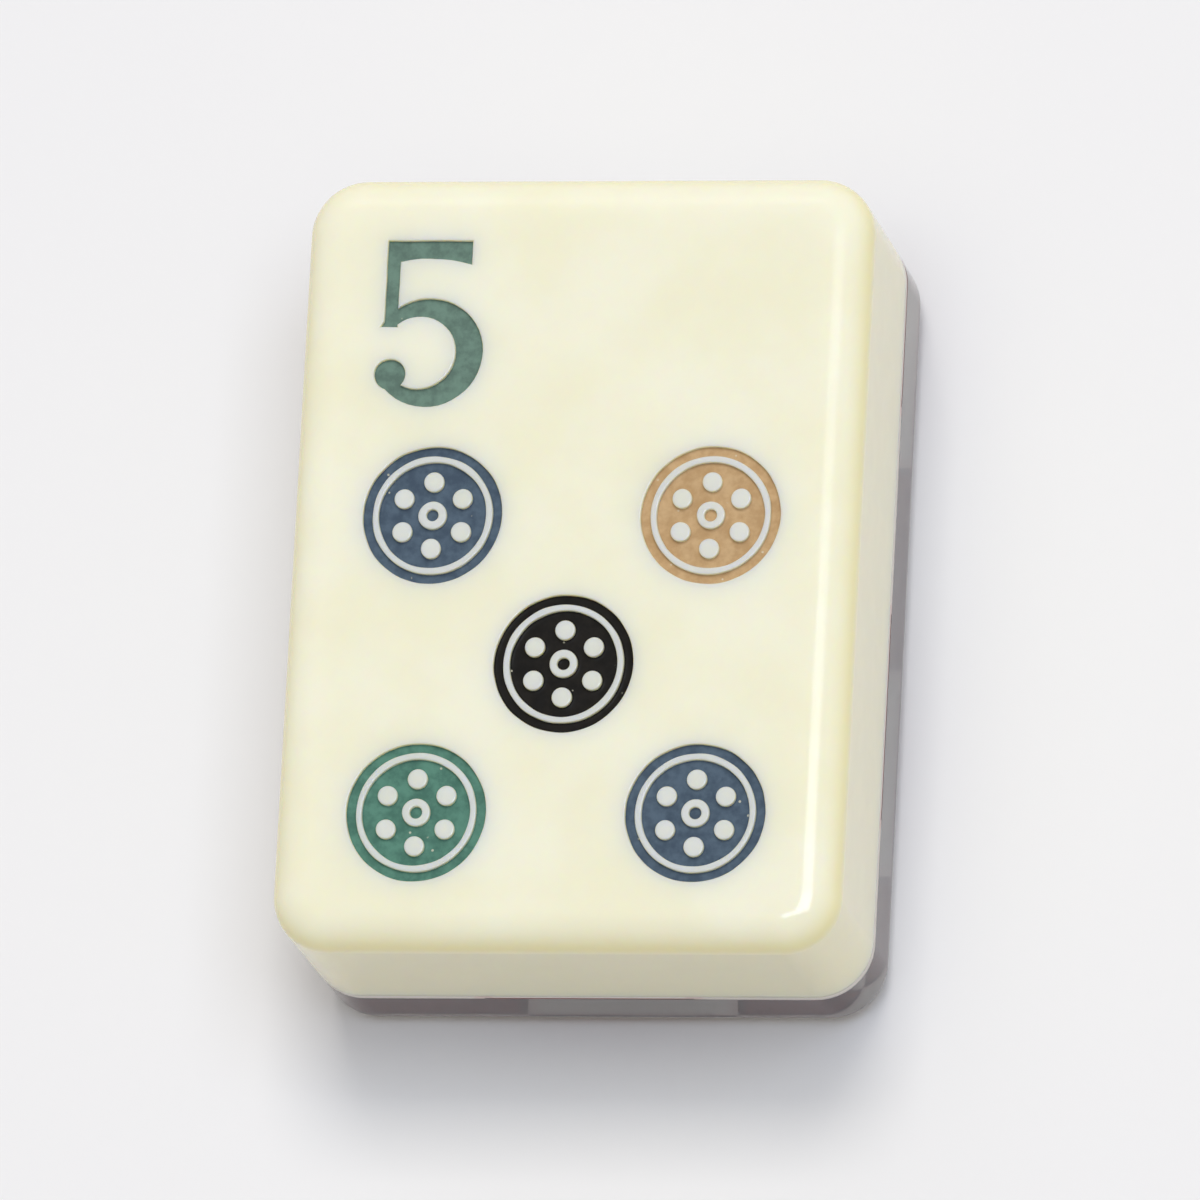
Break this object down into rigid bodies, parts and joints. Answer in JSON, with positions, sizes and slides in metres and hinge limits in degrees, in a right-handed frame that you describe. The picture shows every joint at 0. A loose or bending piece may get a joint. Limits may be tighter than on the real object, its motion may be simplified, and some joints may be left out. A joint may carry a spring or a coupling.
{
  "type": "mahjong tile",
  "caption": "Rounded block with an engraved, painted ivory face bonded to a clear back over a checkerboard print. It lies flat on its back.",
  "frame": {"origin": "centre of the resting face of the clear back", "axes": "+X to the right across the face, +Y along the length to the numeral's end, +Z out of the face, which looks up"},
  "size_m": [0.022, 0.0306, 0.0125],
  "materials": {
    "ivory": "polished ivory-coloured melamine",
    "film_white": "pale grey-white printed film",
    "ink_maroon": "maroon printing ink",
    "clear_acrylic": "polished clear acrylic",
    "paint_teal": "satin teal paint",
    "paint_blue": "satin slate blue paint",
    "paint_tan": "satin tan paint",
    "paint_black": "satin black paint",
    "paint_green": "satin green paint"
  },
  "bodies": {
    "root": {"ivory_front": "ivory", "pattern_film": "film_white", "check_ink": "ink_maroon", "clear_back": "clear_acrylic", "numeral_paint": "paint_teal", "blue_circle_paint": "paint_blue", "tan_circle_paint": "paint_tan", "black_circle_paint": "paint_black", "green_circle_paint": "paint_green"}
  },
  "joints": []
}
